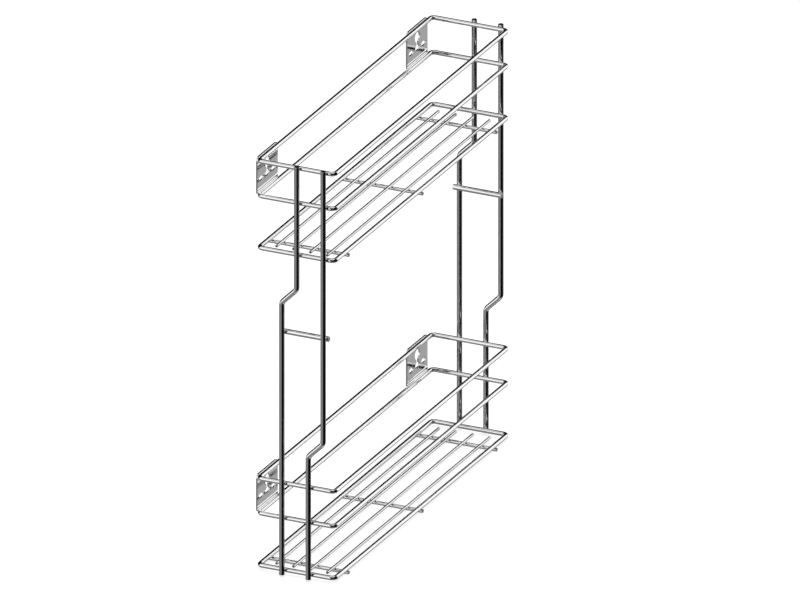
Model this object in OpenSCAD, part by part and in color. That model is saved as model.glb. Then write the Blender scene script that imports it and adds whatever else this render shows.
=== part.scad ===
// Two-tier wire basket insert for a narrow kitchen base unit.
// Two baskets of bent and straight wires hang between four joggled uprights, and
// four slotted plates on the side rails carry the insert on its runners.
// X runs across the unit, Y runs from the front to the back, Z runs up.
// The zero point lies in the middle of the whole insert across and along, at the
// underside of the lowest cross wires. All sizes are in mm.

/* [Baskets] */
// Width of a basket between the centre lines of its side rails
basket_width = 96; // [80:0.5:200]
// Depth of a basket between the centre lines of its end rails
basket_depth = 470; // [360:1:520]
// Diameter of the wire that the rails are bent from
ring_wire_d = 5.5; // [4:0.1:6]
// Corner radius of the rails at the centre line
ring_corner_r = 5; // [4:0.1:12]
// Drop from the top rail to the middle rail
middle_rail_drop = 43.4; // [36:0.1:56]
// Drop from the top rail to the bottom rail
bottom_rail_drop = 108.3; // [80:0.1:140]
// Height from one basket to the same rail of the next
basket_pitch = 396.8; // [340:0.1:460]

/* [Floors] */
// Diameter of the wires that run along the floor
floor_wire_d = 3.5; // [2.5:0.1:4]
// Number of wires along each floor
floor_wire_count = 4; // [4:1:4]
// Spacing of the floor wires across the basket
floor_wire_pitch = 21.5; // [16:0.1:22.5]
// Distance from an end rail's centre line to the end of a floor wire
floor_wire_inset = 14.5; // [9:0.5:30]
// Diameter of the wires that cross under the floor
cross_wire_d = 4.5; // [3:0.1:5]
// Distance from an end rail's centre line to the nearest cross wire
cross_wire_inset = 34.5; // [18:0.5:90]
// Length by which a cross wire passes each side rail's centre line
cross_wire_overhang = 3; // [2:0.1:5]

/* [Uprights] */
// Diameter of the wire of the uprights and the tie bars
upright_wire_d = 6.5; // [5:0.1:8]
// Length by which an upright passes the outermost rails' centre lines
upright_overhang = 4; // [3:0.1:8]
// Sideways offset of an upright's joggle
joggle_offset = 18.9; // [10:0.1:26]
// Bend radius of a joggle at the centre line
joggle_bend_r = 9; // [7:0.1:12]
// Amount that the bending takes off the wire's radius between the two bends
joggle_thinning = 0.03; // [0.03:0.01:0.1]
// Height of the two joggle levels above and below the middle of the uprights
joggle_level = 93.5; // [60:0.1:110]
// Distance between the two uprights of an end, centre line to centre line
upright_spacing = 33.7; // [24:0.1:44]
// Sideways shift of the four uprights from the middle of the baskets
upright_shift = 10.6; // [4:0.1:14]
// Length by which a tie bar passes the uprights' centre lines
tie_bar_overhang = 4.6; // [4:0.1:10]
// Height of the tie bars above the middle of the uprights
tie_bar_level = 45.4; // [20:0.1:60]

/* [Plates] */
// Thickness of the plates
plate_t = 2; // [1:0.1:3]
// Height of a plate's top edge above the top rail's centre line
plate_rise = 2.6; // [1:0.1:5]
// Radius of a plate's upper corners
plate_top_corner_r = 5; // [2:0.1:8]
// Radius of a plate's lower corners
plate_bottom_corner_r = 2; // [1:0.1:3]
// Distance from the front rail's centre line to the front plate's middle
front_plate_setback = 30.2; // [28:0.1:60]
// Distance from the back rail's centre line to the back plate's middle
back_plate_setback = 33.1; // [30:0.1:80]
// Length of a screw slot, end to end
slot_l = 12; // [8:0.1:14]
// Width of a screw slot
slot_w = 5.5; // [4:0.1:6.5]
// Width of the web between two neighbouring slots
slot_web = 4.7; // [3:0.1:8]
// Width of the margin between the outer slots and the plate's ends
slot_margin = 4.9; // [3:0.1:9]
// Drop from a plate's top edge to the slots' centre line
slot_drop = 29.4; // [26:0.1:32]
// Diameter of the round opening above the middle slot
keyhole_d = 13.4; // [8:0.1:16]
// Rise from the slots' centre line to the middle of the round opening
keyhole_rise = 14; // [12:0.1:17]
// Width of the neck between the round opening and the middle slot
keyhole_neck_w = 5.5; // [4:0.1:7]

/* [Welds] */
// Clearance left between two wires where they are spot-welded together
weld_gap = 0.04; // [0.02:0.01:0.1]

/* [Hidden] */
$fn = 48;

ring_wire_r = ring_wire_d / 2;
floor_wire_r = floor_wire_d / 2;
cross_wire_r = cross_wire_d / 2;
upright_wire_r = upright_wire_d / 2;

// Middle of the baskets across, which the plates push to the right of the zero point
reach_left = ring_wire_r + weld_gap + plate_t;
reach_right = max(ring_wire_r, cross_wire_overhang);
middle_x = (reach_left - reach_right) / 2;

// Heights, from the underside of the lowest cross wires
lower_cross_z = cross_wire_r;
lower_bottom_z = lower_cross_z + cross_wire_r + weld_gap + ring_wire_r;
lower_floor_z = lower_cross_z + cross_wire_r + weld_gap + floor_wire_r;
lower_top_z = lower_bottom_z + bottom_rail_drop;
lower_middle_z = lower_top_z - middle_rail_drop;
upright_l = basket_pitch + bottom_rail_drop + upright_overhang * 2;
upright_z = lower_bottom_z - upright_overhang;
upright_middle_z = upright_z + upright_l / 2;
tie_bar_z = upright_middle_z + tie_bar_level;

// Places of the uprights and the tie bars
left_upright_x = middle_x + upright_shift - upright_spacing / 2 - joggle_offset / 2;
right_upright_x = middle_x + upright_shift + upright_spacing / 2 - joggle_offset / 2;
upright_y = basket_depth / 2 + ring_wire_r + weld_gap + upright_wire_r;
tie_bar_y = upright_y - upright_wire_d - weld_gap;
tie_bar_x = left_upright_x - tie_bar_overhang;
// The right uprights have stepped across at the tie bars' level and the left ones not yet
tie_bar_l = upright_spacing + joggle_offset + tie_bar_overhang * 2;

// A joggle: two eighth bends with a slanting length between them
joggle_angle = 45;
joggle_bend_x = joggle_bend_r * (1 - cos(joggle_angle));
joggle_bend_z = joggle_bend_r * sin(joggle_angle);
joggle_slant_l = (joggle_offset - joggle_bend_x * 2) / sin(joggle_angle);
joggle_h = joggle_bend_z * 2 + joggle_slant_l * cos(joggle_angle);
joggle_slant_root = 0.5;

// Lengths and places along the depth of a basket
floor_wire_l = basket_depth - floor_wire_inset * 2;
end_cross_y = basket_depth / 2 - cross_wire_inset;

// Sizes and places of the plates, which run down to the middle rail's centre line
slot_pitch = slot_l + slot_web;
plate_l = (slot_pitch + slot_l / 2 + slot_margin) * 2;
plate_h = plate_rise + middle_rail_drop;
plate_x = middle_x - basket_width / 2 - reach_left;
front_plate_y = -basket_depth / 2 + front_plate_setback;
back_plate_y = basket_depth / 2 - back_plate_setback;
lower_plate_z = lower_top_z + plate_rise;
slot_r = slot_w / 2;
keyhole_r = keyhole_d / 2;
cut_margin = 1;

ring_colour = [0.80, 0.81, 0.83];
floor_colour = [0.72, 0.74, 0.77];
cross_colour = [0.66, 0.68, 0.72];
upright_colour = [0.58, 0.60, 0.64];
tie_bar_colour = [0.52, 0.54, 0.58];
plate_colour = [0.60, 0.61, 0.60];

// A straight wire that starts at the zero point and runs along X
module wire_along_x(r, l) {
    rotate([0, 90, 0]) cylinder(r = r, h = l);
}

// A straight wire that starts at the zero point and runs along Y
module wire_along_y(r, l) {
    rotate([-90, 0, 0]) cylinder(r = r, h = l);
}

// A closed rail: four straight lengths and four quarter bends of one wire
module ring(z) {
    half_x = basket_width / 2;
    half_y = basket_depth / 2;
    straight_x = basket_width - ring_corner_r * 2;
    straight_y = basket_depth - ring_corner_r * 2;
    translate([middle_x, 0, z]) {
        for (side = [-1, 1]) {
            translate([side * half_x, -straight_y / 2, 0]) wire_along_y(ring_wire_r, straight_y);
            translate([-straight_x / 2, side * half_y, 0]) wire_along_x(ring_wire_r, straight_x);
        }
        for (corner = [[1, 1, 0], [-1, 1, 90], [-1, -1, 180], [1, -1, 270]]) {
            translate([corner[0] * straight_x / 2, corner[1] * straight_y / 2, 0])
                rotate([0, 0, corner[2]])
                    rotate_extrude(angle = 90) translate([ring_corner_r, 0]) circle(r = ring_wire_r);
        }
    }
}

// One wire of a floor, counted from the left
module floor_wire(number, z) {
    x = middle_x + (number - (floor_wire_count + 1) / 2) * floor_wire_pitch;
    translate([x, -floor_wire_l / 2, z]) wire_along_y(floor_wire_r, floor_wire_l);
}

// One wire across the underside of a floor
module cross_wire(y, z) {
    l = basket_width + cross_wire_overhang * 2;
    translate([middle_x - l / 2, y, z]) wire_along_x(cross_wire_r, l);
}

// An eighth bend of an upright in the X-Z plane, round a bend centre at the zero point.
// It leaves the vertical at the near side of the centre, or at the far side when turned.
module joggle_bend(turned) {
    rotate([90, 0, 0]) rotate(turned ? [0, 180, 0] : [180, 0, 0])
        rotate_extrude(angle = joggle_angle) translate([joggle_bend_r, 0]) circle(r = upright_wire_r);
}

// The slanting length between two bends, drawn slightly thin by the bending
module joggle_slant() {
    rotate([0, joggle_angle, 0]) translate([0, 0, -joggle_slant_root])
        cylinder(r = upright_wire_r - joggle_thinning, h = joggle_slant_l + joggle_slant_root * 2);
}

// An upright that steps to the right by the joggle's offset on its way up
module upright(x, y, joggle_middle) {
    bend_start = joggle_middle - joggle_h / 2;
    bend_end = joggle_middle + joggle_h / 2;
    translate([x, y, upright_z]) {
        cylinder(r = upright_wire_r, h = bend_start);
        translate([joggle_bend_r, 0, bend_start]) joggle_bend(true);
        translate([joggle_bend_x, 0, bend_start + joggle_bend_z]) joggle_slant();
        translate([joggle_offset - joggle_bend_r, 0, bend_end]) joggle_bend(false);
        translate([joggle_offset, 0, bend_end]) cylinder(r = upright_wire_r, h = upright_l - bend_end);
    }
}

// A straight bar that ties the two uprights of one end together
module tie_bar(y) {
    translate([tie_bar_x, y, tie_bar_z]) wire_along_x(upright_wire_r, tie_bar_l);
}

// A plate's outline in the Y-Z plane, with its top edge at the zero point
module plate_blank() {
    half_l = plate_l / 2;
    rotate([90, 0, 90]) linear_extrude(height = plate_t) difference() {
        translate([-half_l, -plate_h]) square([plate_l, plate_h]);
        for (side = [-1, 1]) {
            translate([side * half_l, 0]) mirror([side > 0 ? 0 : 1, 0]) corner_cut(plate_top_corner_r, 1);
            translate([side * half_l, -plate_h]) mirror([side > 0 ? 0 : 1, 0])
                corner_cut(plate_bottom_corner_r, -1);
        }
    }
}

// The waste at a rounded corner, with the corner at the zero point
module corner_cut(r, rise) {
    difference() {
        translate([-r, rise > 0 ? -r : -cut_margin]) square([r + cut_margin, r + cut_margin]);
        translate([-r, -r * rise]) circle(r = r);
    }
}

// A screw slot through a plate, along Y, with its middle at the zero point
module slot_cut() {
    reach = (slot_l - slot_w) / 2;
    depth = plate_t + cut_margin * 2;
    for (side = [-1, 1])
        translate([-cut_margin, side * reach, 0]) rotate([0, 90, 0]) cylinder(r = slot_r, h = depth);
    translate([-cut_margin, -reach, -slot_r]) cube([depth, reach * 2, slot_w]);
}

// The opening that hooks over a headed stud: a round hole, a neck and the middle slot
module keyhole_cut() {
    depth = plate_t + cut_margin * 2;
    translate([-cut_margin, 0, keyhole_rise]) rotate([0, 90, 0]) cylinder(r = keyhole_r, h = depth);
    translate([-cut_margin, -keyhole_neck_w / 2, 0]) cube([depth, keyhole_neck_w, keyhole_rise]);
}

// A flat plate with three screw slots and a keyhole over the middle one
module plate(y, z) {
    translate([plate_x, y, z]) difference() {
        plate_blank();
        translate([0, 0, -slot_drop]) {
            for (place = [-1, 0, 1]) translate([0, place * slot_pitch, 0]) slot_cut();
            keyhole_cut();
        }
    }
}

module upper_top_ring() { color(ring_colour) ring(lower_top_z + basket_pitch); }
module upper_middle_ring() { color(ring_colour) ring(lower_middle_z + basket_pitch); }
module upper_bottom_ring() { color(ring_colour) ring(lower_bottom_z + basket_pitch); }
module lower_top_ring() { color(ring_colour) ring(lower_top_z); }
module lower_middle_ring() { color(ring_colour) ring(lower_middle_z); }
module lower_bottom_ring() { color(ring_colour) ring(lower_bottom_z); }

module upper_floor_wire_1() { color(floor_colour) floor_wire(1, lower_floor_z + basket_pitch); }
module upper_floor_wire_2() { color(floor_colour) floor_wire(2, lower_floor_z + basket_pitch); }
module upper_floor_wire_3() { color(floor_colour) floor_wire(3, lower_floor_z + basket_pitch); }
module upper_floor_wire_4() { color(floor_colour) floor_wire(4, lower_floor_z + basket_pitch); }
module lower_floor_wire_1() { color(floor_colour) floor_wire(1, lower_floor_z); }
module lower_floor_wire_2() { color(floor_colour) floor_wire(2, lower_floor_z); }
module lower_floor_wire_3() { color(floor_colour) floor_wire(3, lower_floor_z); }
module lower_floor_wire_4() { color(floor_colour) floor_wire(4, lower_floor_z); }

module upper_cross_wire_front() {
    color(cross_colour) cross_wire(-end_cross_y, lower_cross_z + basket_pitch);
}
module upper_cross_wire_middle() { color(cross_colour) cross_wire(0, lower_cross_z + basket_pitch); }
module upper_cross_wire_back() {
    color(cross_colour) cross_wire(end_cross_y, lower_cross_z + basket_pitch);
}
module lower_cross_wire_front() { color(cross_colour) cross_wire(-end_cross_y, lower_cross_z); }
module lower_cross_wire_middle() { color(cross_colour) cross_wire(0, lower_cross_z); }
module lower_cross_wire_back() { color(cross_colour) cross_wire(end_cross_y, lower_cross_z); }

// The left uprights step across above the middle, the right ones below it
module upright_front_left() {
    color(upright_colour) upright(left_upright_x, -upright_y, upright_l / 2 + joggle_level);
}
module upright_front_right() {
    color(upright_colour) upright(right_upright_x, -upright_y, upright_l / 2 - joggle_level);
}
module upright_back_left() {
    color(upright_colour) upright(left_upright_x, upright_y, upright_l / 2 + joggle_level);
}
module upright_back_right() {
    color(upright_colour) upright(right_upright_x, upright_y, upright_l / 2 - joggle_level);
}

module tie_bar_front() { color(tie_bar_colour) tie_bar(-tie_bar_y); }
module tie_bar_back() { color(tie_bar_colour) tie_bar(tie_bar_y); }

module plate_upper_front() { color(plate_colour) plate(front_plate_y, lower_plate_z + basket_pitch); }
module plate_upper_back() { color(plate_colour) plate(back_plate_y, lower_plate_z + basket_pitch); }
module plate_lower_front() { color(plate_colour) plate(front_plate_y, lower_plate_z); }
module plate_lower_back() { color(plate_colour) plate(back_plate_y, lower_plate_z); }

upper_top_ring();
upper_middle_ring();
upper_bottom_ring();
lower_top_ring();
lower_middle_ring();
lower_bottom_ring();
upper_floor_wire_1();
upper_floor_wire_2();
upper_floor_wire_3();
upper_floor_wire_4();
lower_floor_wire_1();
lower_floor_wire_2();
lower_floor_wire_3();
lower_floor_wire_4();
upper_cross_wire_front();
upper_cross_wire_middle();
upper_cross_wire_back();
lower_cross_wire_front();
lower_cross_wire_middle();
lower_cross_wire_back();
upright_front_left();
upright_front_right();
upright_back_left();
upright_back_right();
tie_bar_front();
tie_bar_back();
plate_upper_front();
plate_upper_back();
plate_lower_front();
plate_lower_back();
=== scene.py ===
import bpy, bmesh, math, random
from mathutils import Matrix, Vector, noise


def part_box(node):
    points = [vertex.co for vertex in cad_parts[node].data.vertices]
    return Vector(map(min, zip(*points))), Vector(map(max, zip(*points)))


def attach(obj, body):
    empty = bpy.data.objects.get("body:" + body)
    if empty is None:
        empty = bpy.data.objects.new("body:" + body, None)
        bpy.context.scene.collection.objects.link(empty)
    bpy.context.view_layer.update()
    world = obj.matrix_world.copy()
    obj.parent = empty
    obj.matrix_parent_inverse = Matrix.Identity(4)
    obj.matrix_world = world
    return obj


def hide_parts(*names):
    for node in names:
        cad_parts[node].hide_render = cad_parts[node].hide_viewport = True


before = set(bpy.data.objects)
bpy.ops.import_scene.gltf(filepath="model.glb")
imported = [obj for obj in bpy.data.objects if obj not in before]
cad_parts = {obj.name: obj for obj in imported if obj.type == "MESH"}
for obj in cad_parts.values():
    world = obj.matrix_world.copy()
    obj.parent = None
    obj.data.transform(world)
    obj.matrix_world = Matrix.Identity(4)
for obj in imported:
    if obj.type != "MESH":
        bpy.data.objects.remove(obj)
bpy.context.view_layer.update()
mm = 0.001
across, along, upward = Vector((1, 0, 0)), Vector((0, 1, 0)), Vector((0, 0, 1))
tiers = ("upper", "lower")
print("frame loaded:", len(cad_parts), "nodes")


# Camera, fitted to the picture's parallel lines
cameraSettings = {
    "azimuth": 25.117,                  # degrees to the right of the front
    "elevation": 22.932,
    "frameWidth": 0.9215,               # metres across the picture
    "reach": 3.0,                       # metres from the corner aimed at to the camera
    "farthest": 20.0,                   # metres that the camera sees
    "aimRight": 0.16276,                # from the upper basket's front left corner, in metres
    "aimUp": -0.1596,
}


def makeCamera(s):
    a, e = math.radians(s["azimuth"]), math.radians(s["elevation"])
    right = Vector((math.cos(a), math.sin(a), 0))
    towards = Vector((math.sin(a) * math.cos(e), -math.cos(a) * math.cos(e), math.sin(e)))
    up = towards.cross(right)
    low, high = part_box("upper_top_ring")
    wire = (high[2] - low[2]) / 2
    corner = Vector((low[0] + wire, low[1] + wire, low[2] + wire))
    data = bpy.data.cameras.new("camera")
    data.type = "ORTHO"
    data.ortho_scale = s["frameWidth"]
    data.clip_end = s["farthest"]
    camera = bpy.data.objects.new("camera", data)
    camera.location = corner + right * s["aimRight"] + up * s["aimUp"] + towards * s["reach"]
    camera.rotation_euler = (math.pi / 2 - e, 0, a)
    bpy.context.scene.collection.objects.link(camera)
    bpy.context.scene.camera = camera


makeCamera(cameraSettings)


# A socket that takes part in sums, so shader maths reads as maths
class Signal:
    def __init__(self, tree, socket):
        self.tree, self.socket = tree, socket

    @staticmethod
    def node(tree, kind, settings=None, sockets=None, output=0):
        made = tree.nodes.new(kind)
        for name, value in (settings or {}).items():
            setattr(made, name, value)
        for name, value in (sockets or {}).items():
            if isinstance(value, Signal):
                tree.links.new(value.socket, made.inputs[name])
            else:
                made.inputs[name].default_value = value
        return Signal(tree, made.outputs[output] if made.outputs else None)

    def other(self, output):
        return Signal(self.tree, self.socket.node.outputs[output])

    def maths(self, operation, first, second):
        return Signal.node(self.tree, "ShaderNodeMath", {"operation": operation}, {0: first, 1: second})

    def __add__(self, other):
        return self.maths("ADD", self, other)

    def __radd__(self, other):
        return self.maths("ADD", other, self)

    def __sub__(self, other):
        return self.maths("SUBTRACT", self, other)

    def __rsub__(self, other):
        return self.maths("SUBTRACT", other, self)

    def __mul__(self, other):
        return self.maths("MULTIPLY", self, other)

    def __rmul__(self, other):
        return self.maths("MULTIPLY", other, self)


def ease(value, low, high):
    return Signal.node(value.tree, "ShaderNodeMapRange", {"interpolation_type": "SMOOTHSTEP"},
                       {"Value": value, "From Min": low, "From Max": high, "To Min": 0.0, "To Max": 1.0})


def mixColour(factor, first, second):
    return Signal.node(factor.tree, "ShaderNodeMix", {"data_type": "RGBA"},
                       {0: factor, 6: first, 7: second}, output=2)


# The world that the metal mirrors. Its places are parts of a direction of length 1, and a pair of them
# is a soft edge. First a white tent, with a duller ground under its rim
tentSettings = {
    "frontLeft": 0.2,                   # brightness of the ground
    "frontRight": 0.4,
    "rightEdge": (0.1, 0.3),            # along X
    "behind": 0.365,                    # and of the ground behind the metal
    "behindEdge": (0.45, 0.8),          # along Y
    "rim": (-0.3, -0.12),               # height
    "rimDrop": 0.06,                    # how much lower the rim hangs behind
}


def whiteTent(x, y, z, s):
    behind = ease(y, *s["behindEdge"])
    front = s["frontLeft"] + ease(x, *s["rightEdge"]) * (s["frontRight"] - s["frontLeft"])
    low = front * (1 - behind) + s["behind"] * behind
    white = ease(z + behind * s["rimDrop"], *s["rim"])
    return low * (1 - white) + white


# An unlit room around the camera and to its right, with a slim window in it
roomSettings = {
    "tone": 0.002,
    "leftEdge": (-0.3, -0.14),          # towards the camera's right
    "lean": 0.36,                       # how much further left that edge lies higher up
    "leanHeights": (-0.3, 0.1),
    "backEdge": (0.45, 0.8),            # along Y
    "foot": (-0.87, -0.7),
    "top": (0.8, 0.95),
    "windowAzimuth": 45,                # degrees to the right of the front
    "windowTone": 0.5,
    "windowEdge": (0.001, 0.01),        # square of the distance from the window's upright middle line
    "windowFoot": (0.1, 0.25),
    "windowTop": (0.5, 0.65),
}


def unlitRoom(x, y, z, s):
    a, w = math.radians(cameraSettings["azimuth"]), math.radians(s["windowAzimuth"])
    right = x * math.cos(a) + y * math.sin(a)
    share = ease(right + s["lean"] * ease(z, *s["leanHeights"]), *s["leftEdge"])
    share = share * (1 - ease(y, *s["backEdge"])) * ease(z, *s["foot"]) * (1 - ease(z, *s["top"]))
    offWindow = x * math.cos(w) + y * math.sin(w)
    window = (1 - ease(offWindow * offWindow, *s["windowEdge"])) * s["windowTone"]
    window = window * ease(z, *s["windowFoot"]) * (1 - ease(z, *s["windowTop"]))
    return share, s["tone"] + window


# A dark part behind the metal on the left, which comes further forward above the ground
darkSettings = {
    "tone": 0.005,
    "heights": (-0.3, 0.0),             # from its narrow foot to its full width
    "rightEdge": (-0.12, 0.0),          # towards the left
    "rightReach": 0.1,                  # how much further to the right it is at full width
    "frontEdge": (0.3, 0.5),            # along Y
    "frontReach": 0.2,                  # how much further forward it is at full width
    "leftReach": 0.6,                   # and further still at the far left
    "leftEdge": (0.5, 0.9),             # towards the left
    "top": (0.86, 0.96),
}


def darkBehind(x, y, z, s):
    level = ease(z, *s["heights"])
    forward = level * (s["frontReach"] + s["leftReach"] * ease(0 - x, *s["leftEdge"]))
    share = ease(level * s["rightReach"] - x, *s["rightEdge"])
    share = share * ease(y + forward, *s["frontEdge"]) * (1 - ease(z, *s["top"]))
    return share, s["tone"]


# Studio: the world above, a pale floor and one soft lamp
studioSettings = {
    "fill": 0.75,                       # the world's light on matt surfaces
    "floorSize": 8.0,
    "floorGlow": 0.68,
    "floorTone": (0.5, 0.5, 0.5, 1),
    "lampSize": 1.6,
    "lampPower": 22,
    "lampPlace": (0.5, -0.9, 2.0),
    "lampTarget": (0, 0, 0.25),
}


def makeWorld(s):
    world = bpy.data.worlds.new("studio")
    world.use_nodes = True
    tree = world.node_tree
    tree.nodes.clear()
    way = Signal.node(tree, "ShaderNodeTexCoord")
    x = Signal.node(tree, "ShaderNodeSeparateXYZ", None, {0: way})
    y, z = x.other("Y"), x.other("Z")
    seen = whiteTent(x, y, z, tentSettings)
    for share, tone in (unlitRoom(x, y, z, roomSettings), darkBehind(x, y, z, darkSettings)):
        seen = seen * (1 - share) + tone * share
    ray = Signal.node(tree, "ShaderNodeLightPath")
    toCamera, glossy = ray.other("Is Camera Ray"), ray.other("Is Glossy Ray")
    light = s["fill"] * (1 - glossy) + seen * glossy
    light = light * (1 - toCamera) + toCamera
    glow = Signal.node(tree, "ShaderNodeBackground", None, {"Strength": light, "Color": (1, 1, 1, 1)})
    Signal.node(tree, "ShaderNodeOutputWorld", None, {"Surface": glow})
    bpy.context.scene.world = world


def makeFloor(s):
    work = bmesh.new()
    bmesh.ops.create_grid(work, x_segments=1, y_segments=1, size=s["floorSize"] / 2)
    mesh = bpy.data.meshes.new("studioFloor")
    work.to_mesh(mesh)
    work.free()
    floor = bpy.data.objects.new("studioFloor", mesh)
    floor.visible_glossy = False        # the metal mirrors the tent instead
    bpy.context.scene.collection.objects.link(floor)
    finish = bpy.data.materials.new("paleFloor")
    finish.use_nodes = True
    tree = finish.node_tree
    tree.nodes.clear()
    matte = Signal.node(tree, "ShaderNodeBsdfDiffuse", None, {"Color": s["floorTone"]})
    glow = Signal.node(tree, "ShaderNodeEmission", None, {"Strength": s["floorGlow"]})
    ray = Signal.node(tree, "ShaderNodeLightPath")
    both = Signal.node(tree, "ShaderNodeAddShader", None, {0: matte, 1: glow})
    toCamera = ray.other("Is Camera Ray")
    shown = Signal.node(tree, "ShaderNodeMixShader", None, {0: toCamera, 1: matte, 2: both})
    Signal.node(tree, "ShaderNodeOutputMaterial", None, {"Surface": shown})
    mesh.materials.append(finish)


def makeLamp(s):
    lamp = bpy.data.lights.new("softbox", "AREA")
    lamp.shape, lamp.size, lamp.energy = "DISK", s["lampSize"], s["lampPower"]
    box = bpy.data.objects.new("softbox", lamp)
    box.location = s["lampPlace"]
    box.rotation_euler = (Vector(s["lampTarget"]) - box.location).to_track_quat("-Z", "Y").to_euler()
    box.visible_glossy = False
    bpy.context.scene.collection.objects.link(box)


makeWorld(studioSettings)
makeFloor(studioSettings)
makeLamp(studioSettings)
bpy.context.scene.view_settings.view_transform = "Standard"
print("studio ready")


# Chrome over drawn wire, over a weld and over sheet: fine grain, handling marks in clouds, and pinholes
# in the plating that crowd where the clouds are dull
railChrome = {
    "name": "railChrome",
    "bright": (0.985, 0.987, 0.992, 1), "dull": (0.9, 0.905, 0.915, 1), "pitTone": (0.5, 0.49, 0.47, 1),
    "cutTone": (0.4, 0.4, 0.41, 1),
    "grainStretch": (1, 1, 1), "grainScale": 700.0, "grainDetail": 3.0, "grainRoughness": 0.6,
    "cloudScale": 22.0, "cloudDetail": 4.0, "cloudWarp": 0.4, "smudgeEdge": (0.48, 0.7),
    "pitScale": 420.0, "pitEdge": (0.05, 0.11), "pitClouds": (0.52, 0.66),
    "smudgeWear": 0.45, "grainWear": 0.25,          # how far each dulls the colour
    "pitCover": 0.8, "cutCover": 0.85,              # how much of the colour each takes over
    "smooth": 0.035, "rough": 0.13, "pitRough": 0.2, "cutRough": 0.12,
    "cloudRise": 2.0, "pitDrop": 1.5, "cutRise": 2.0,           # beside a grain of 1
    "relief": 0.000002, "strength": 0.35,
}
floorChrome = dict(railChrome, name="floorWireChrome", grainStretch=(1, 0.06, 1), grainScale=1100.0)
crossChrome = dict(railChrome, name="crossWireChrome", grainStretch=(0.06, 1, 1), grainScale=1000.0)
uprightChrome = dict(railChrome, name="uprightChrome", grainStretch=(1, 1, 0.05), grainScale=800.0)
weldChrome = dict(
    railChrome, name="weldChrome", bright=(0.84, 0.845, 0.85, 1), dull=(0.6, 0.6, 0.6, 1),
    grainScale=1500.0, cloudScale=260.0, smooth=0.12, rough=0.32, relief=0.00004, strength=0.5)
plateChrome = dict(
    railChrome, name="plateChrome", grainStretch=(1, 0.04, 1), grainScale=1300.0, cloudScale=34.0,
    pitScale=300.0, smooth=0.03, rough=0.085, cutRough=0.02, cutTone=(0.82, 0.825, 0.83, 1),
    relief=0.0000009, strength=0.3)


def makeChrome(s):
    finish = bpy.data.materials.new(s["name"])
    finish.use_nodes = True
    tree = finish.node_tree
    tree.nodes.clear()
    place = Signal.node(tree, "ShaderNodeTexCoord").other("Object")
    stretched = Signal.node(tree, "ShaderNodeMapping", None, {"Vector": place, "Scale": s["grainStretch"]})
    grain = Signal.node(tree, "ShaderNodeTexNoise", None,
                        {"Vector": stretched, "Scale": s["grainScale"], "Detail": s["grainDetail"],
                         "Roughness": s["grainRoughness"]})
    cloud = Signal.node(tree, "ShaderNodeTexNoise", None,
                        {"Vector": place, "Scale": s["cloudScale"], "Detail": s["cloudDetail"],
                         "Distortion": s["cloudWarp"]})
    pit = Signal.node(tree, "ShaderNodeTexVoronoi", None, {"Vector": place, "Scale": s["pitScale"]})
    smudge = ease(cloud, *s["smudgeEdge"])
    pits = (1 - ease(pit, *s["pitEdge"])) * ease(cloud, *s["pitClouds"])
    cut = Signal.node(tree, "ShaderNodeAttribute", {"attribute_name": "cutEdge"}).other("Fac")
    wear = smudge * s["smudgeWear"] + grain * s["grainWear"]
    colour = mixColour(pits * s["pitCover"], mixColour(wear, s["bright"], s["dull"]), s["pitTone"])
    colour = mixColour(cut * s["cutCover"], colour, s["cutTone"])
    spread = s["rough"] - s["smooth"]
    roughness = s["smooth"] + smudge * spread + pits * s["pitRough"] + cut * (s["cutRough"] * grain)
    height = grain + cloud * s["cloudRise"] - pits * s["pitDrop"] + cut * grain * s["cutRise"]
    bump = Signal.node(tree, "ShaderNodeBump", None,
                       {"Height": height, "Strength": s["strength"], "Distance": s["relief"]})
    shader = Signal.node(tree, "ShaderNodeBsdfPrincipled", None,
                         {"Base Color": colour, "Roughness": roughness, "Normal": bump, "Metallic": 1.0})
    Signal.node(tree, "ShaderNodeOutputMaterial", None, {"Surface": shader})
    return finish


finishes = {s["name"]: makeChrome(s)
            for s in (railChrome, floorChrome, crossChrome, uprightChrome, weldChrome, plateChrome)}
print("finishes ready:", len(finishes))


# Turns a bmesh into a piece of the insert
def addPiece(work, name, finish, replaced=(), sharpAngle=35):
    bmesh.ops.recalc_face_normals(work, faces=work.faces)
    for face in work.faces:
        face.smooth = len(face.verts) <= 4      # wider faces are cut ends and flat sheet
    mesh = bpy.data.meshes.new(name)
    work.to_mesh(mesh)
    work.free()
    mesh.set_sharp_from_angle(angle=math.radians(sharpAngle))
    mesh.materials.append(finishes[finish])
    piece = bpy.data.objects.new(name, mesh)
    bpy.context.scene.collection.objects.link(piece)
    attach(piece, "root")
    if replaced:
        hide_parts(*replaced)


def pieceName(node):
    first, *rest = node.split("_")
    return first + "".join(word.capitalize() for word in rest)


def corners(node):
    return tuple(Vector(corner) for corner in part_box(node))


# A wire laid like a real one: straight runs and bends, one rim of points after another
wireShape = {
    "sides": 32,
    "bendStep": 6,                      # degrees from one rim to the next in a bend
    "endRounding": 0.25 * mm,
    "endSteps": 3,
    "shadingMargin": 0.6 * mm,
    "joinGap": 0.01 * mm,
}


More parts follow.
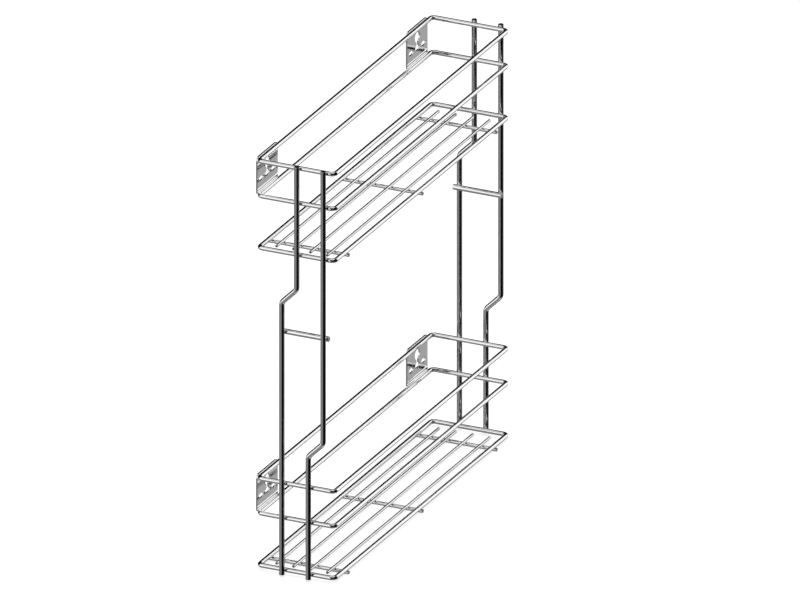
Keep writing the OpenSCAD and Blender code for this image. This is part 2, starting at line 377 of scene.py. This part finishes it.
class Wire:
    def __init__(self, radius, place, heading):
        self.work = bmesh.new()
        self.cutEdge = self.work.verts.layers.float.new("cutEdge")      # the finish is duller where it is 1
        self.place, self.heading = place.copy(), heading.copy()
        turn = heading.to_track_quat("Z", "Y").to_matrix().to_4x4()
        made = bmesh.ops.create_circle(self.work, segments=wireShape["sides"], radius=radius,
                                       matrix=Matrix.Translation(place) @ turn)
        self.rim = list({edge for vert in made["verts"] for edge in vert.link_edges})

    # A rim close to each end of a straight keeps the shading of the rest level
    def run(self, length):
        margin = wireShape["shadingMargin"]
        steps = (margin, length - margin * 2, margin) if length > margin * 4 else (length,)
        for step in steps:
            self.extend(step)

    def extend(self, length, growth=1.0):
        made = bmesh.ops.extrude_edge_only(self.work, edges=self.rim)["geom"]
        verts = [part for part in made if isinstance(part, bmesh.types.BMVert)]
        edges = [part for part in made if isinstance(part, bmesh.types.BMEdge)]
        self.rim = [edge for edge in edges if edge.is_boundary]
        bmesh.ops.translate(self.work, verts=verts, vec=self.heading * length)
        self.place += self.heading * length
        bmesh.ops.scale(self.work, verts=verts, vec=(growth,) * 3, space=Matrix.Translation(-self.place))

    def bend(self, radius, axis, degrees):
        side = axis.cross(self.heading) * math.copysign(radius, degrees)
        centre = self.place + side
        angle = math.radians(degrees)
        made = bmesh.ops.spin(self.work, geom=self.rim, cent=centre, axis=axis, angle=angle,
                              steps=round(abs(degrees) / wireShape["bendStep"]), use_merge=False)
        self.rim = [part for part in made["geom_last"] if isinstance(part, bmesh.types.BMEdge)]
        turn = Matrix.Rotation(angle, 3, axis)
        self.place = centre - turn @ side
        self.heading = turn @ self.heading

    def joinEnds(self):
        bmesh.ops.remove_doubles(self.work, verts=self.work.verts, dist=wireShape["joinGap"])

    def capEnds(self):
        rims = [edge for edge in self.work.edges if edge.is_boundary]
        bmesh.ops.holes_fill(self.work, edges=rims, sides=0)
        bmesh.ops.bevel(self.work, geom=rims, offset=wireShape["endRounding"], offset_type="OFFSET",
                        segments=wireShape["endSteps"], profile=0.5, affect="EDGES", material=-1)
        for face in self.work.faces:
            if len(face.verts) == wireShape["sides"]:
                for vert in face.verts:
                    vert[self.cutEdge] = 1


# Rails: one wire bent into a closed rectangle and butt-welded on its left side
railShape = {
    "cornerRadius": 5 * mm,
    "weldFromMiddle": 60 * mm,          # towards the back, from the middle of the left side
    "weldGrowth": (1.025, 1.035, 1.025),            # each rim's radius beside the wire's own
    "weldStep": 0.5 * mm,
}


def makeRail(node, s):
    low, high = corners(node)
    radius = (high.z - low.z) / 2
    inset = Vector((radius, radius, radius))
    low, high = low + inset, high - inset
    corner = s["cornerRadius"]
    sideRun, endRun = (high.y - low.y) - corner * 2, (high.x - low.x) - corner * 2
    start = Vector((low.x, (low.y + high.y) / 2 + s["weldFromMiddle"], low.z))
    wire = Wire(radius, start, along)
    swelling = [1.0, *s["weldGrowth"], 1.0]
    for growth, before in zip(swelling[1:], swelling):
        wire.extend(s["weldStep"], growth / before)
    wire.run(high.y - corner - wire.place.y)
    for length in (endRun, sideRun, endRun):
        wire.bend(corner, upward, -90)
        wire.run(length)
    wire.bend(corner, upward, -90)
    wire.run(start.y - wire.place.y)
    wire.joinEnds()
    addPiece(wire.work, pieceName(node), "railChrome", [node])


rails = [f"{tier}_{level}_ring" for tier in tiers for level in ("top", "middle", "bottom")]
for node in rails:
    makeRail(node, railShape)
print("rails bent:", len(rails))


# Straight wires: basket floors, the wires under them and the tie bars
def makeStraightWire(node, heading, finish):
    low, high = corners(node)
    middle = (low + high) / 2
    length = (high - low).dot(heading)
    radius = (high.z - low.z) / 2
    wire = Wire(radius, middle - heading * (length / 2), heading)
    wire.run(length)
    wire.capEnds()
    addPiece(wire.work, pieceName(node), finish, [node])


floorWires = [f"{tier}_floor_wire_{number}" for tier in tiers for number in (1, 2, 3, 4)]
crossWires = [f"{tier}_cross_wire_{place}" for tier in tiers for place in ("front", "middle", "back")]
tieBars = ["tie_bar_front", "tie_bar_back"]
for node in floorWires:
    makeStraightWire(node, along, "floorWireChrome")
for node in crossWires + tieBars:
    makeStraightWire(node, across, "crossWireChrome")
print("straight wires laid:", len(floorWires + crossWires + tieBars))


# Uprights: each steps to the right once, between the baskets
uprightShape = {
    "bendRadius": 9 * mm,
    "stepAngle": 45,                    # degrees off the vertical
    "stepFromMiddle": 93.5 * mm,        # the left ones step above the middle, the right ones below
}


def makeUpright(node, s):
    low, high = corners(node)
    radius = (high.y - low.y) / 2
    offset = (high.x - low.x) - radius * 2
    angle = math.radians(s["stepAngle"])
    slant = (offset - 2 * s["bendRadius"] * (1 - math.cos(angle))) / math.sin(angle)
    stepHeight = 2 * s["bendRadius"] * math.sin(angle) + slant * math.cos(angle)
    rise = s["stepFromMiddle"] * (1 if node.endswith("left") else -1)
    stepStart = (low.z + high.z) / 2 + rise - stepHeight / 2
    wire = Wire(radius, Vector((low.x + radius, low.y + radius, low.z)), upward)
    wire.run(stepStart - low.z)
    wire.bend(s["bendRadius"], along, s["stepAngle"])
    wire.run(slant)
    wire.bend(s["bendRadius"], along, -s["stepAngle"])
    wire.run(high.z - wire.place.z)
    wire.capEnds()
    addPiece(wire.work, pieceName(node), "uprightChrome", [node])


uprights = [f"upright_{end}_{side}" for end in ("front", "back") for side in ("left", "right")]
for node in uprights:
    makeUpright(node, uprightShape)
print("uprights bent:", len(uprights))


# Plates: the frame's own shape with its stamped edges rounded over
plateShape = {
    "edgeRounding": 0.1 * mm,
    "edgeSteps": 2,
    "edgeAngle": 40,                    # degrees; flatter edges belong to a round corner
    "joinGap": 0.001 * mm,
    "flatAngle": 0.5,                   # degrees, below which two faces are one
    "wallSlope": 0.1,                   # how far a face may lean across and still be a stamped wall
    "rimWidth": 3 * mm,
    "rimDullness": 0.3,                 # of the plate's own rim, where 1 is the wall of a slot
    "sharpAngle": 12,                   # below the steps of a rounding, so that the sheet stays flat
}


def makePlate(node, s):
    work = bmesh.new()
    cutEdge = work.verts.layers.float.new("cutEdge")
    work.from_mesh(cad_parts[node].data)
    bmesh.ops.remove_doubles(work, verts=work.verts, dist=s["joinGap"])
    bmesh.ops.dissolve_limit(work, angle_limit=math.radians(s["flatAngle"]), verts=work.verts,
                             edges=work.edges)
    edges = [edge for edge in work.edges if edge.calc_face_angle(0) > math.radians(s["edgeAngle"])]
    bmesh.ops.bevel(work, geom=edges, offset=s["edgeRounding"], offset_type="OFFSET",
                    segments=s["edgeSteps"], profile=0.5, affect="EDGES", clamp_overlap=True, material=-1)
    work.normal_update()
    low, high = corners(node)
    for vert in work.verts:
        if any(abs(face.normal.x) < s["wallSlope"] for face in vert.link_faces):
            inside = min(vert.co.y - low.y, high.y - vert.co.y, vert.co.z - low.z, high.z - vert.co.z)
            vert[cutEdge] = 1 if inside > s["rimWidth"] else s["rimDullness"]
    addPiece(work, pieceName(node), "plateChrome", [node], s["sharpAngle"])


plates = [f"plate_{tier}_{end}" for tier in tiers for end in ("front", "back")]
for node in plates:
    makePlate(node, plateShape)
print("plates rounded:", len(plates))


# Welds: a small flat bead where two wires cross, and along each rail behind a plate
weldShape = {
    "spread": 1.4 * mm,                 # reach of a bead round the point where the wires touch
    "variation": (0.9, 1.1),            # from one bead to the next
    "thickness": 0.6 * mm,              # on either side of that point
    "floorWireSize": 0.75,              # beside a bead on a rail
    "tieBarSize": 1.1,
    "plateSize": 0.9,
    "lumpiness": 0.16,
    "lumpScale": 900.0,
    "rows": 10,
    "columns": 18,
    "plateSpots": (-0.4, 0, 0.4),       # along a plate, as parts of its length
    "sharpAngle": 60,
}


class Welds:
    def __init__(self, name, seed):
        self.work, self.name, self.dice = bmesh.new(), name, random.Random(seed)

    def bead(self, place, facing, size=1.0):
        s = weldShape
        spread = s["spread"] * size * self.dice.uniform(*s["variation"])
        turn = facing.to_track_quat("Z", "Y").to_matrix().to_4x4()
        stretch = Matrix.Diagonal((spread, spread, s["thickness"] * size, 1))
        shape = Matrix.Translation(place) @ turn @ stretch
        made = bmesh.ops.create_uvsphere(self.work, u_segments=s["columns"], v_segments=s["rows"], radius=1,
                                         matrix=shape)
        for vert in made["verts"]:
            lump = noise.noise(vert.co * s["lumpScale"]) * s["lumpiness"]
            vert.co = place + (vert.co - place) * (1 + lump)

    def finish(self):
        addPiece(self.work, self.name, "weldChrome", sharpAngle=weldShape["sharpAngle"])


def weldBasket(tier, seed):
    welds = Welds(tier + "BasketWelds", seed)
    railLow, railHigh = corners(f"{tier}_bottom_ring")
    railRadius = (railHigh.z - railLow.z) / 2
    for cross in crossWires:
        if not cross.startswith(tier):
            continue
        crossLow, crossHigh = corners(cross)
        y, top = (crossLow.y + crossHigh.y) / 2, crossHigh.z
        for x in (railLow.x + railRadius, railHigh.x - railRadius):
            welds.bead(Vector((x, y, top)), upward)
        for floor in floorWires:
            if floor.startswith(tier):
                floorLow, floorHigh = corners(floor)
                x = (floorLow.x + floorHigh.x) / 2
                welds.bead(Vector((x, y, top)), upward, weldShape["floorWireSize"])
    welds.finish()


def weldUprights(seed):
    welds = Welds("uprightWelds", seed)
    for upright in uprights:
        low, high = corners(upright)
        radius = (high.y - low.y) / 2
        inward = 1 if "front" in upright else -1
        touching = (low.y + high.y) / 2 + radius * inward
        lowerX, upperX = low.x + radius, high.x - radius
        for rail in rails:
            railLow, railHigh = corners(rail)
            x = upperX if rail.startswith("upper") else lowerX
            welds.bead(Vector((x, touching, (railLow.z + railHigh.z) / 2)), along)
        bar = "tie_bar_front" if "front" in upright else "tie_bar_back"
        barLow, barHigh = corners(bar)
        x = lowerX if upright.endswith("left") else upperX
        welds.bead(Vector((x, touching, (barLow.z + barHigh.z) / 2)), along, weldShape["tieBarSize"])
    welds.finish()


def weldPlates(seed):
    welds = Welds("plateWelds", seed)
    for plate in plates:
        low, high = corners(plate)
        tier = plate.split("_")[1]
        for rail in (f"{tier}_top_ring", f"{tier}_middle_ring"):
            railLow, railHigh = corners(rail)
            for spot in weldShape["plateSpots"]:
                y = (low.y + high.y) / 2 + (high.y - low.y) * spot
                z = (railLow.z + railHigh.z) / 2
                welds.bead(Vector((high.x, y, z)), across, weldShape["plateSize"])
    welds.finish()


weldBasket("upper", seed=3)
weldBasket("lower", seed=5)
weldUprights(seed=7)
weldPlates(seed=11)
print("welds laid")
